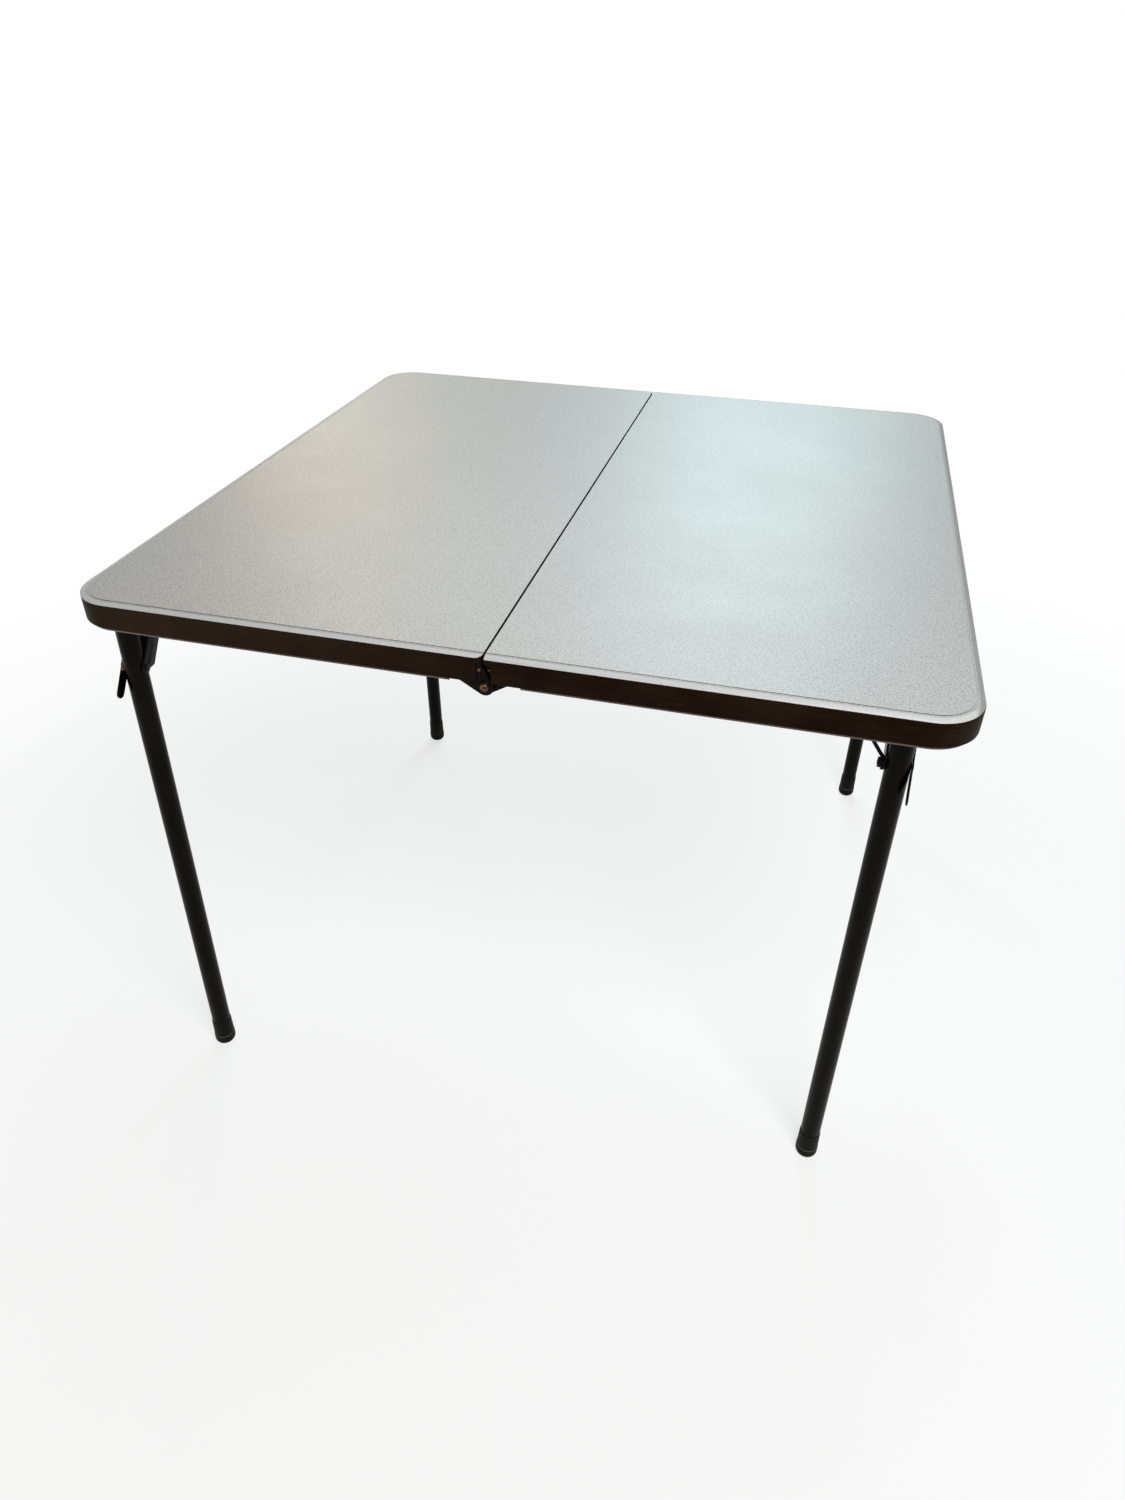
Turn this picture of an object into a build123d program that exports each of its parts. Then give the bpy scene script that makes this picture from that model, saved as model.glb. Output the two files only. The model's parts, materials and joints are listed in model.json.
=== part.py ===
from build123d import *
from math import atan2, cos, degrees, hypot, radians, sin, tan
import os

os.makedirs("parts", exist_ok=True)

# Whole table
side = 940
height = 744
corner_radius = 50
seam_gap = 2.4
half_side = side / 2

# Moulded half top
rim_depth = 30
skirt_wall = 3.2
bevel_width = 8
bevel_drop = 2.2
rim_line_width = 1.2
rim_line_depth = 0.5
bay_skin = 5
slab_thickness = 9
leg_bay_width = 102
slab_margin = 15
seam_corner_radius = 8
seam_notch = 8
seam_wall_low = 717
notch_reach = 13
dimple_radius = 9
dimple_depth = 3.5
dimple_taper = 30
dimple_pitch_x = 76
dimple_pitch_y = 108
dimple_columns = 4
dimple_rows = 8
rim_bottom = height - rim_depth
bay_ceiling = height - bay_skin
slab_bottom = height - slab_thickness
inner_wall = half_side - skirt_wall

# Steel rail under the skirt
rail_wall = 2.5
rail_gap = 0.3
rail_bottom = height - 34.5
rail_end = 37
bead_radius = 1.8
rail_outer = inner_wall - rail_gap
rail_inner = rail_outer - rail_wall
rail_line = rail_outer - rail_wall / 2
bead_overhang = 0.05
bead_shift = rail_wall / 2 + bead_overhang - bead_radius

# Cross rail beside the seam
cross_width = 18
cross_depth = 16
cross_wall = 1.6
cross_offset = 35
cross_round = 1

# Hinge between the halves
hinge_z = height - 36.5
leaf_thickness = 2.5
leaf_round = 9.3
leaf_length = 75
leaf_root = 32
leaf_tip = 3
leaf_low = rim_bottom + 2
leaf_high = slab_bottom - 1
leaf_gap = 0.25
hinge_pin_radius = 3.5
running_fit = 0.05
hinge_head_radius = 4.4
hinge_washer_radius = 7
washer_thickness = 1.1
washer_gap = 0.2
leaf_inner = rail_inner - leaf_thickness
joggle = leaf_thickness + leaf_gap
joggle_run = 8
overrun = 1
hinge_head_outer = 1.4
hinge_head_inner = 1.6

# Legs
tube_radius = 12.7
tube_wall = 1.2
leg_tilt = 1.5
pivot_z = height - 21
outer_lane = 442
inner_lane = 412
outer_pivot_y = 414
inner_pivot_y = 384
tube_top = 5.5
cap_radius = 14.4
cap_height = 45
cap_floor = 6
cap_toe = (7, 2.6)
cap_ring = 17.5
cap_step = 0.5
cap_neck = 13.4
cap_spare = 1
leg_length = pivot_z / cos(radians(leg_tilt))

# Pivot axle and its bracket
axle_radius = 4
axle_head_radius = 6.4
cheek_gap = 18
cheek_wall = 1.5
cheek_back = 9
cheek_front = 71
cheek_low = 14
cheek_nose = (8, 5)
cheek_step = 28
flange_width = 14
axle_head = 1.2
spacer_radius = 8
play = 0.2

# Folding brace
brace_pin_drop = 88
brace_anchor = 62
link_wall = 1.2
link_half_width = 7.2
lower_inside = 13.1
upper_inside = 14.6
brace_pin_radius = 3
brace_head_radius = 4.8
brace_head = 0.8
knee_head = 1.6
stud_head = 1.2
stud_short = 0.1
web_inside = 13.1
link_web = (6, 58)
web_shoulder = 7
web_root = 5
web_end = 1
tongue_length = 40
tongue_half_width = 6.2
tongue_root = 6.7

# Stay rod of the inner legs
stay_radius = 2
stay_reach = 69.2
eye_thickness = 2.5
eye_radius = 7.4
small_eye_radius = 7.6
stay_low_shift = 1.9
stay_start = 6.6
stay_end = 6.4
bearing_wall = 2
bearing_half_width = 9
bearing_nose = (7, 5)
bearing_round = 7.5
bearing_foot = 14
bearing_screw = 9
nut_radius = 5.4
nut_height = 3.6
pin_past_nut = 0.4

# Screws and rivets
screw_head_radius = 3.6
screw_head = 1.8
rivet_radius = 2.3
notch_rivet_x = 4.7
notch_rivet_rise = 2
root_rivets = (60, 48)
root_rivet_radius = 3.4
rivet_head = 1.2
head_taper = 30
bracket_screws = (-2, 60)


def finish(part, name):
    """Labels a finished piece and writes its file."""
    part.label = name
    export_step(part, "parts/" + name + ".step")


def on_half(half, origin, x_dir, z_dir):
    """A work plane given in the frame of one half of the table."""
    return Plane(half.location * Plane(origin=origin, x_dir=x_dir, z_dir=z_dir).location)


def turned(plane, spot, angle):
    """The plane moved to a spot of its own and turned about its normal."""
    return Plane(plane.location * Location((spot[0], spot[1], 0), (0, 0, 1), angle))


def looking(plane, way):
    """The plane turned over where way is negative, so that it looks the other way."""
    return plane if way > 0 else Plane(plane.location * Location((0, 0, 0), (1, 0, 0), 180))


def add_head(plane, radius, rise):
    """Adds a low conical head that stands on a plane."""
    with Locations(plane):
        Cone(radius, radius - rise * tan(radians(head_taper)), rise, align=(Align.CENTER, Align.CENTER, Align.MIN))


# The two halves are the same piece, turned half a turn about the vertical
halves = {
    "left": Plane.XY,
    "right": Plane(origin=(0, 0, 0), x_dir=(-1, 0, 0), z_dir=(0, 0, 1)),
}

# Each half has an outer and an inner leg, side by side when folded
half_legs = {"left": ("front_left", "back_left"), "right": ("back_right", "front_right")}

# Each leg has a side plane through its pivot: x points inwards, y up, and z along the pivot axle
legs = {}
for half_name, (outer_name, inner_name) in half_legs.items():
    half = halves[half_name]
    outer = on_half(half, (-outer_lane, -outer_pivot_y, pivot_z), (0, 1, 0), (1, 0, 0))
    inner = on_half(half, (-inner_lane, inner_pivot_y, pivot_z), (0, -1, 0), (-1, 0, 0))
    legs[outer_name] = (outer, True)
    legs[inner_name] = (inner, False)

# Brace geometry in a side plane, open and locked straight
brace_a = (-brace_pin_drop * sin(radians(leg_tilt)), -brace_pin_drop * cos(radians(leg_tilt)))
brace_b = (brace_anchor, 0)
brace_span = hypot(brace_b[0] - brace_a[0], brace_b[1] - brace_a[1])
brace_folded = brace_pin_drop - brace_anchor
lower_length = (brace_span + brace_folded) / 2
upper_length = (brace_span - brace_folded) / 2
brace_angle = degrees(atan2(brace_b[1] - brace_a[1], brace_b[0] - brace_a[0]))


# Moulded half tops
for half_name, half in halves.items():
    with BuildPart() as top_panel:
        with BuildSketch(half.offset(rim_bottom)):
            RectangleRounded(side, side, corner_radius)
        extrude(amount=rim_depth - bevel_drop)
        with BuildSketch(half.offset(height - bevel_drop)):
            RectangleRounded(side, side, corner_radius)
        with BuildSketch(half.offset(height)):
            RectangleRounded(side - 2 * bevel_width, side - 2 * bevel_width, corner_radius - bevel_width)
        loft(ruled=True)
        # Fine line pressed in just inside the rolled rim
        with BuildSketch(half.offset(height)):
            RectangleRounded(side - 2 * bevel_width, side - 2 * bevel_width, corner_radius - bevel_width)
            line_inset = bevel_width + rim_line_width
            RectangleRounded(
                side - 2 * line_inset, side - 2 * line_inset, corner_radius - line_inset, mode=Mode.SUBTRACT
            )
        extrude(amount=-rim_line_depth, mode=Mode.SUBTRACT)
        # Hollow underneath, with the thicker double wall left in the middle
        with BuildSketch(half.offset(rim_bottom)):
            RectangleRounded(2 * inner_wall, 2 * inner_wall, corner_radius - skirt_wall)
        extrude(amount=bay_ceiling - rim_bottom, mode=Mode.SUBTRACT)
        slab_edge = inner_wall - leg_bay_width
        with BuildSketch(half.offset(slab_bottom)):
            with Locations((-slab_edge / 2, 0)):
                Rectangle(slab_edge, 2 * (inner_wall - slab_margin))
        extrude(amount=slab_thickness - bay_skin)
        # Dimples where the lower wall is drawn up to the upper one
        with BuildSketch(half.offset(slab_bottom)):
            with Locations((-slab_edge / 2 - cross_width, 0)):
                with GridLocations(dimple_pitch_x, dimple_pitch_y, dimple_columns, dimple_rows):
                    RegularPolygon(dimple_radius, 6)
        extrude(amount=dimple_depth, taper=dimple_taper, mode=Mode.SUBTRACT)
        # Wall along the seam
        with BuildSketch(half.offset(seam_wall_low)):
            with Locations((-seam_gap / 2 - skirt_wall / 2, 0)):
                Rectangle(skirt_wall, 2 * (leaf_inner - leaf_gap))
        extrude(amount=bay_ceiling - seam_wall_low)
        # Skirt ends cut back to clear the hinge
        with BuildSketch(half.offset(rim_bottom)):
            with Locations((0, half_side), (0, -half_side)):
                Rectangle(2 * seam_notch, 2 * notch_reach)
        extrude(amount=slab_bottom - rim_bottom, mode=Mode.SUBTRACT)
        # Only this half is kept, with its corners at the seam rounded
        with BuildSketch(half.offset(rim_bottom)):
            with BuildLine():
                Polyline(
                    (-seam_gap / 2, -half_side),
                    (-seam_gap / 2, half_side),
                    (-side, half_side),
                    (-side, -half_side),
                    close=True,
                )
            make_face()
            fillet(vertices().group_by(Axis.X)[-1 if half_name == "left" else 0], seam_corner_radius)
        extrude(amount=rim_depth, mode=Mode.INTERSECT)
    finish(top_panel.part, "top_panel_" + half_name)

# Steel rails that run under the skirt round three sides of each half
for half_name, half in halves.items():
    with BuildPart() as rail:
        with BuildLine(half.offset(rail_bottom)):
            FilletPolyline(
                (-rail_end, -rail_line),
                (-rail_line, -rail_line),
                (-rail_line, rail_line),
                (-rail_end, rail_line),
                radius=corner_radius - (half_side - rail_line),
            )
        with BuildSketch(on_half(half, (-rail_end, -rail_line, rail_bottom), (0, -1, 0), (-1, 0, 0))):
            wall_height = bay_ceiling - rail_bottom - bead_radius
            with Locations((0, bead_radius + wall_height / 2)):
                Rectangle(rail_wall, wall_height)
            with Locations((bead_shift, bead_radius)):
                RegularPolygon(bead_radius, 8)
        sweep()
    finish(rail.part, "rail_" + half_name)

# Cross rails beside the seam, open downwards
for half_name, half in halves.items():
    with BuildPart() as cross_rail:
        with BuildSketch(on_half(half, (-cross_offset, -leaf_inner, slab_bottom), (1, 0, 0), (0, -1, 0))):
            with Locations((0, -cross_depth / 2)):
                Rectangle(cross_width, cross_depth)
            with Locations((0, -cross_depth / 2 - cross_wall / 2)):
                Rectangle(cross_width - 2 * cross_wall, cross_depth - cross_wall, mode=Mode.SUBTRACT)
        extrude(amount=-2 * leaf_inner)
        fillet(cross_rail.edges().filter_by(Axis.Y).group_by(Axis.Z)[-1], cross_round)
    finish(cross_rail.part, "cross_rail_" + half_name)

# Hinge leaves: the outer one of each pair is joggled to lie over the flat inner one
for half_name, half in halves.items():
    pin_hole = hinge_pin_radius if half_name == "left" else hinge_pin_radius + running_fit
    for layer, facing in (("outer", -1), ("inner", 1)):
        face = on_half(half, (0, facing * leaf_inner, 0), (1, 0, 0), (0, -1, 0))
        reach = facing * (leaf_thickness + (joggle if layer == "outer" else 0))
        with BuildPart() as leaf:
            with BuildSketch(face):
                with Locations((0, hinge_z)):
                    Circle(leaf_round)
                with Locations(((-leaf_root - leaf_tip) / 2, (leaf_low + leaf_high) / 2)):
                    Rectangle(leaf_root - leaf_tip, leaf_high - leaf_low)
                make_hull()
                with Locations(((-leaf_length - leaf_root) / 2, (leaf_low + leaf_high) / 2)):
                    Rectangle(leaf_length - leaf_root + overrun, leaf_high - leaf_low)
                with Locations((0, hinge_z)):
                    Circle(pin_hole, mode=Mode.SUBTRACT)
            extrude(amount=-reach)
            if layer == "outer":
                with BuildSketch(half.offset(hinge_z - 2 * leaf_round)):
                    inner_y = -leaf_inner
                    bent_y = -leaf_inner - joggle
                    bend = leaf_root - joggle_run
                    with BuildLine():
                        Polyline(
                            (-leaf_length - overrun, inner_y),
                            (-leaf_root, inner_y),
                            (-bend, bent_y),
                            (2 * leaf_round, bent_y),
                            (2 * leaf_round, bent_y - leaf_thickness),
                            (-bend - overrun, bent_y - leaf_thickness),
                            (-leaf_root - overrun, inner_y - leaf_thickness),
                            (-leaf_length - overrun, inner_y - leaf_thickness),
                            close=True,
                        )
                    make_face()
                extrude(amount=2 * leaf_round + leaf_high - hinge_z, mode=Mode.INTERSECT)
        end = "front" if (layer == "outer") == (half_name == "left") else "back"
        finish(leaf.part, "hinge_leaf_" + end + "_" + half_name)

# Hinge pins, headed at both ends over a washer
leaf_outer = leaf_inner + leaf_thickness + joggle
washer_inner_low = leaf_inner - washer_gap - washer_thickness
washer_outer_low = leaf_outer + washer_gap
for end, facing in (("front", -1), ("back", 1)):
    axis_plane = Plane(origin=(0, 0, hinge_z), x_dir=(1, 0, 0), z_dir=(0, facing, 0))
    with BuildPart() as hinge_pin:
        with BuildSketch(axis_plane.offset(washer_inner_low)):
            Circle(hinge_pin_radius)
        extrude(amount=washer_outer_low + washer_thickness - washer_inner_low)
        add_head(axis_plane.offset(washer_outer_low + washer_thickness), hinge_head_radius, hinge_head_outer)
        add_head(looking(axis_plane.offset(washer_inner_low), -1), hinge_head_radius, hinge_head_inner)
    finish(hinge_pin.part, "hinge_pin_" + end)

with BuildPart() as hinge_washers:
    for facing in (-1, 1):
        for low in (washer_inner_low, washer_outer_low):
            with BuildSketch(Plane(origin=(0, facing * low, hinge_z), x_dir=(1, 0, 0), z_dir=(0, facing, 0))):
                Circle(hinge_washer_radius)
                Circle(hinge_pin_radius, mode=Mode.SUBTRACT)
            extrude(amount=washer_thickness)
finish(hinge_washers.part, "hinge_washers")

# Rivets that hold the leaves, seen on the inner side and through the notch at the seam
for half_name, half in halves.items():
    with BuildPart() as hinge_rivets:
        for facing in (-1, 1):
            notch_face = leaf_outer if facing < 0 else leaf_inner + leaf_thickness
            middle = (leaf_low + leaf_high) / 2
            with BuildSketch(on_half(half, (0, facing * leaf_inner, middle), (1, 0, 0), (0, -facing, 0))):
                with Locations(*[(-along, 0) for along in root_rivets]):
                    RegularPolygon(root_rivet_radius, 6)
            extrude(amount=rivet_head)
            spot = (-notch_rivet_x, facing * notch_face, middle + notch_rivet_rise)
            add_head(on_half(half, spot, (1, 0, 0), (0, facing, 0)), rivet_radius, rivet_head)
    finish(hinge_rivets.part, "hinge_rivets_" + half_name)

# Legs and what turns with them
for leg_name, (plane, is_outer) in legs.items():
    inboard = 1 if is_outer else -1
    leg_axis = Plane(plane.location * Location((0, 0, 0), (0, 0, 1), -leg_tilt))
    down = Plane(origin=leg_axis.origin, x_dir=leg_axis.z_dir, z_dir=-leg_axis.y_dir)

    with BuildPart() as leg_tube:
        with BuildSketch(down.offset(-tube_top)):
            Circle(tube_radius)
            Circle(tube_radius - tube_wall, mode=Mode.SUBTRACT)
        extrude(amount=tube_top + leg_length - cap_floor)
        with BuildSketch(leg_axis.offset(-2 * tube_radius)):
            Circle(axle_radius)
            with Locations((0, -brace_pin_drop)):
                Circle(brace_pin_radius)
        extrude(amount=4 * tube_radius, mode=Mode.SUBTRACT)
    finish(leg_tube.part, "leg_tube_" + leg_name)

    with BuildPart() as foot_cap:
        with BuildSketch(Plane(origin=down.origin, x_dir=leg_axis.z_dir, z_dir=-leg_axis.x_dir)):
            low = leg_length + cap_spare
            with BuildLine():
                Polyline(
                    (0, -low),
                    (cap_radius - cap_toe[0], -low),
                    (cap_radius - cap_toe[1], -low + cap_toe[1]),
                    (cap_radius, -low + cap_toe[0]),
                    (cap_radius, -low + cap_ring),
                    (cap_radius - cap_step, -low + cap_ring + cap_step),
                    (cap_neck, -low + cap_height),
                    (tube_radius, -low + cap_height),
                    (tube_radius, -leg_length + cap_floor),
                    (0, -leg_length + cap_floor),
                    close=True,
                )
            make_face()
        revolve(axis=Axis(down.origin, down.z_dir))
        split(bisect_by=Plane.XY, keep=Keep.TOP)
    finish(foot_cap.part, "foot_cap_" + leg_name)

    near = cheek_gap + cheek_wall + play
    far = near if is_outer else stay_reach + eye_thickness + bearing_wall + 2 * play
    with BuildPart() as leg_axle:
        with BuildSketch(leg_axis.offset(-inboard * near)):
            Circle(axle_radius)
        extrude(amount=inboard * (near + far))
        with BuildSketch(leg_axis.offset(-inboard * near)):
            RegularPolygon(axle_head_radius, 6)
        extrude(amount=-inboard * axle_head)
        with BuildSketch(leg_axis.offset(inboard * far)):
            RegularPolygon(axle_head_radius, 6)
        extrude(amount=inboard * axle_head)
    finish(leg_axle.part, "leg_axle_" + leg_name)

    with BuildPart() as leg_spacers:
        for way in (-1, 1):
            with BuildSketch(leg_axis.offset(way * (tube_radius + play))):
                RegularPolygon(spacer_radius, 8)
                Circle(axle_radius, mode=Mode.SUBTRACT)
            extrude(amount=way * (cheek_gap - tube_radius - 2 * play))
    finish(leg_spacers.part, "leg_spacers_" + leg_name)

    pin_plane = leg_axis.location * Location((0, -brace_pin_drop, 0))
    pin_face = lower_inside + link_wall + play
    pin_long = pin_face if is_outer else pin_face + eye_thickness + nut_height + pin_past_nut
    with BuildPart() as brace_pin:
        with BuildSketch(Plane(pin_plane).offset(-inboard * pin_face)):
            Circle(brace_pin_radius)
        extrude(amount=inboard * (pin_face + pin_long))
        for way in (-1, 1) if is_outer else (1,):
            add_head(looking(Plane(pin_plane).offset(way * pin_face), way), brace_head_radius, brace_head)
    finish(brace_pin.part, "brace_pin_" + leg_name)

    if not is_outer:
        rod_start = (0, -brace_pin_drop + stay_start, -(pin_face + stay_low_shift))
        rod_end = (0, -stay_end, -(stay_reach + eye_thickness - stay_radius - play))
        start = (leg_axis.location * Location(rod_start)).position
        stop = (leg_axis.location * Location(rod_end)).position
        with BuildPart() as stay_rod:
            with BuildSketch(Plane(origin=start, z_dir=stop - start)):
                Circle(stay_radius)
            extrude(amount=(stop - start).length)
            with BuildSketch(Plane(pin_plane).offset(-pin_face)):
                Circle(small_eye_radius)
            extrude(amount=-eye_thickness)
            with BuildSketch(leg_axis.offset(-stay_reach)):
                Circle(eye_radius)
            extrude(amount=-eye_thickness)
            with BuildSketch(Plane(pin_plane)):
                Circle(brace_pin_radius)
            extrude(amount=-2 * cheek_gap, mode=Mode.SUBTRACT)
            with BuildSketch(leg_axis):
                Circle(axle_radius)
            extrude(amount=-2 * stay_reach, mode=Mode.SUBTRACT)
        finish(stay_rod.part, "stay_rod_" + leg_name)

        with BuildPart() as stay_nut:
            with BuildSketch(Plane(pin_plane).offset(-pin_face - eye_thickness)):
                RegularPolygon(nut_radius, 6)
                Circle(brace_pin_radius, mode=Mode.SUBTRACT)
            extrude(amount=-nut_height)
        finish(stay_nut.part, "stay_nut_" + leg_name)

# Folding braces: a pressed channel pinned to the leg, and a pair of flat bars hung from the bracket
for leg_name, (plane, is_outer) in legs.items():
    outboard = -1 if is_outer else 1
    lower_plane = turned(plane, brace_a, brace_angle)
    with BuildPart() as lower_link:
        for way in (-1, 1):
            with BuildSketch(lower_plane.offset(way * lower_inside)):
                with Locations((lower_length / 2, 0)):
                    SlotCenterToCenter(lower_length, 2 * link_half_width)
                with BuildLine():
                    Polyline(
                        (link_web[0] - web_shoulder, -web_root),
                        (link_web[0], -web_inside - link_wall),
                        (link_web[1], -web_inside - link_wall),
                        (link_web[1] + web_shoulder, -web_root),
                        close=True,
                    )
                make_face()
                if way == outboard:
                    with BuildLine():
                        Polyline(
                            (0, tongue_root),
                            (-tongue_length + tongue_half_width, tongue_half_width),
                            (-tongue_length + tongue_half_width, -tongue_half_width),
                            (0, -tongue_root),
                            close=True,
                        )
                    make_face()
                    with Locations((-tongue_length + tongue_half_width, 0)):
                        Circle(tongue_half_width)
                with Locations((0, 0), (lower_length, 0)):
                    Circle(brace_pin_radius + running_fit, mode=Mode.SUBTRACT)
            extrude(amount=way * link_wall)
        with BuildSketch(lower_plane.offset(-lower_inside)):
            with Locations((sum(link_web) / 2, -web_inside - link_wall / 2)):
                Rectangle(link_web[1] - link_web[0] - 2 * web_end, link_wall)
        extrude(amount=2 * lower_inside)
    finish(lower_link.part, "lower_link_" + leg_name)

    upper_plane = turned(plane, brace_b, brace_angle + 180)
    with BuildPart() as upper_link:
        for way in (-1, 1):
            with BuildSketch(upper_plane.offset(way * upper_inside)):
                with Locations((upper_length / 2, 0)):
                    SlotCenterToCenter(upper_length, 2 * link_half_width)
                Circle(brace_pin_radius + running_fit, mode=Mode.SUBTRACT)
            extrude(amount=way * link_wall)
            knee = turned(upper_plane, (upper_length, 0), 0).offset(way * (upper_inside + link_wall))
            add_head(looking(knee, way), brace_head_radius, knee_head)
    finish(upper_link.part, "upper_link_" + leg_name)

# Pressed brackets that carry the leg axles and the braces
for leg_name, (plane, is_outer) in legs.items():
    top = bay_ceiling - pivot_z
    with BuildPart() as leg_bracket:
        for way in (-1, 1):
            with BuildSketch(plane.offset(way * cheek_gap)):
                with BuildLine():
                    Polyline(
                        (-cheek_back, -cheek_low),
                        (-cheek_back, top - cheek_wall),
                        (cheek_front, top - cheek_wall),
                        (cheek_front, -cheek_nose[1]),
                        (cheek_front - cheek_nose[0], -cheek_nose[1] - cheek_nose[0] / 2),
                        (cheek_step, -cheek_low + cheek_wall),
                        (cheek_back, -cheek_low),
                        close=True,
                    )
                make_face()
                Circle(axle_radius + running_fit, mode=Mode.SUBTRACT)
                with Locations(brace_b):
                    Circle(brace_pin_radius, mode=Mode.SUBTRACT)
            extrude(amount=way * cheek_wall)
        wide = cheek_gap + cheek_wall
        low_side = wide if is_outer else wide + flange_width
        with BuildSketch(plane.offset(-low_side)):
            with Locations(((cheek_front - cheek_back) / 2, top - cheek_wall / 2)):
                Rectangle(cheek_front + cheek_back, cheek_wall)
        extrude(amount=low_side + wide + flange_width)
    finish(leg_bracket.part, "leg_bracket_" + leg_name)

    with BuildPart() as brace_studs:
        for way in (-1, 1):
            with BuildSketch(turned(plane, brace_b, 0).offset(way * (upper_inside - stud_short))):
                Circle(brace_pin_radius)
            extrude(amount=way * (cheek_gap + cheek_wall - upper_inside + stud_short))
            outside = turned(plane, brace_b, 0).offset(way * (cheek_gap + cheek_wall))
            add_head(looking(outside, way), brace_head_radius, stud_head)
    finish(brace_studs.part, "brace_studs_" + leg_name)

    if not is_outer:
        with BuildPart() as stay_bearing:
            with BuildSketch(plane.offset(-stay_reach - eye_thickness - play)):
                with BuildLine():
                    foot = slab_bottom - pivot_z
                    Polyline(
                        (-bearing_half_width, foot),
                        (bearing_half_width, foot),
                        (bearing_nose[0], -bearing_nose[1]),
                        (-bearing_nose[0], -bearing_nose[1]),
                        close=True,
                    )
                make_face()
                Circle(bearing_round)
                Circle(axle_radius + running_fit, mode=Mode.SUBTRACT)
            extrude(amount=-bearing_wall)
            with BuildSketch(plane.offset(-stay_reach - eye_thickness - play - bearing_wall)):
                with Locations((0, foot - bearing_wall / 2)):
                    Rectangle(2 * bearing_half_width, bearing_wall)
            extrude(amount=-bearing_foot)
        finish(stay_bearing.part, "stay_bearing_" + leg_name)

# Screws that hold the brackets up to each half top
for half_name, half in halves.items():
    with BuildPart() as panel_screws:
        for leg_name in half_legs[half_name]:
            plane, is_outer = legs[leg_name]
            inboard = 1 if is_outer else -1
            flange_middle = cheek_gap + cheek_wall + flange_width / 2
            ways = (inboard,) if is_outer else (-1, 1)
            under = plane.location * Location((0, bay_ceiling - pivot_z - cheek_wall, 0), (1, 0, 0), 90)
            with BuildSketch(Plane(under)):
                with Locations(*[(along, way * flange_middle) for way in ways for along in bracket_screws]):
                    RegularPolygon(screw_head_radius, 6)
            extrude(amount=screw_head)
            if not is_outer:
                bearing = plane.location * Location((0, slab_bottom - pivot_z - bearing_wall, 0), (1, 0, 0), 90)
                with BuildSketch(Plane(bearing)):
                    with Locations((0, -(stay_reach + eye_thickness + bearing_wall + bearing_screw))):
                        RegularPolygon(screw_head_radius, 6)
                extrude(amount=screw_head)
    finish(panel_screws.part, "panel_screws_" + half_name)
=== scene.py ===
import json
import logging
from contextlib import contextmanager
from dataclasses import dataclass, field
from enum import Enum
from math import cos, pi, radians, sin
from typing import Callable, Iterator

import bmesh
import bpy
from mathutils import Matrix, Vector


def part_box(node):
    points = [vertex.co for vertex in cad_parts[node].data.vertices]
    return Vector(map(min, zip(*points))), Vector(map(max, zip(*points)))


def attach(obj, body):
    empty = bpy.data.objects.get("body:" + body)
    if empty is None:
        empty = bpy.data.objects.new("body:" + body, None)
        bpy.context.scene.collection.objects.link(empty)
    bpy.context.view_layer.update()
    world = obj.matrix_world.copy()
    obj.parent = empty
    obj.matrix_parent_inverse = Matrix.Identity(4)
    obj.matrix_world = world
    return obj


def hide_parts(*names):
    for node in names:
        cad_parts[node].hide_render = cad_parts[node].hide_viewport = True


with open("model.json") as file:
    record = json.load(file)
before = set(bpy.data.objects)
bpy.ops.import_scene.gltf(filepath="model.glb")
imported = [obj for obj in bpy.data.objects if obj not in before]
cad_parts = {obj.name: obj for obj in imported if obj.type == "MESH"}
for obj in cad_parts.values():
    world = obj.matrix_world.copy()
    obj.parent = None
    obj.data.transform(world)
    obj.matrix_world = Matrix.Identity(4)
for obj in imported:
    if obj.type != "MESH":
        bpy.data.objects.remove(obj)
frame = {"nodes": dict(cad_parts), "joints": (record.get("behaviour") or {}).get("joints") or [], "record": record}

log = logging.getLogger("card_table")

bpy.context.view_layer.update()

Colour = tuple[float, float, float]
Place = tuple[float, float, float]
Span = tuple[float, float]
Stations = list[tuple[float, float]]

MM = 0.001
PHOTO_HEIGHT = 1500
WHITE: Colour = (1.0, 1.0, 1.0)
UP: Place = (0.0, 0.0, 1.0)
TOUCH = 0.001 * MM  # points this close are one point
FLAT_ANGLE = 0.6  # degrees, below which two CAD triangles are one face
DOME_WALL = 0.25  # share of a domed head's height that is upright
DOME_FLAT = 0.6  # share of a step that is left flat on top of a dome
NOISE_ROUGHNESS = 0.55
PEBBLE_SMOOTHNESS = 0.6
MIX_SHARE, MIX_FIRST, MIX_SECOND, MIX_RESULT = 0, 6, 7, 2  # the Mix node's colour sockets


class Slot(Enum):
    """The record's material slots."""

    PANEL = "moulded_plastic"
    RAIL = "rail_steel"
    BLACK = "black_steel"
    BRIGHT = "bright_steel"
    CAP = "cap_plastic"


BODY_OF = {
    node: body for body, nodes in frame["record"]["behaviour"]["bodies"].items() for node in nodes
}
SLOT_OF = {row["node"]: Slot(row["material_slot"]) for row in frame["record"]["subparts"]}
SIDES = ("left", "right")
LEG_NAMES = ("front_left", "back_left", "front_right", "back_right")
INNER_LEGS = ("back_left", "front_right")
JOINT_AT = {joint["name"]: Vector(joint["pos_m"]) for joint in frame["joints"]}
MOUNT_AT = {mount["name"]: Vector(mount["pos_m"]) for mount in frame["record"]["mounts"]}


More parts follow.
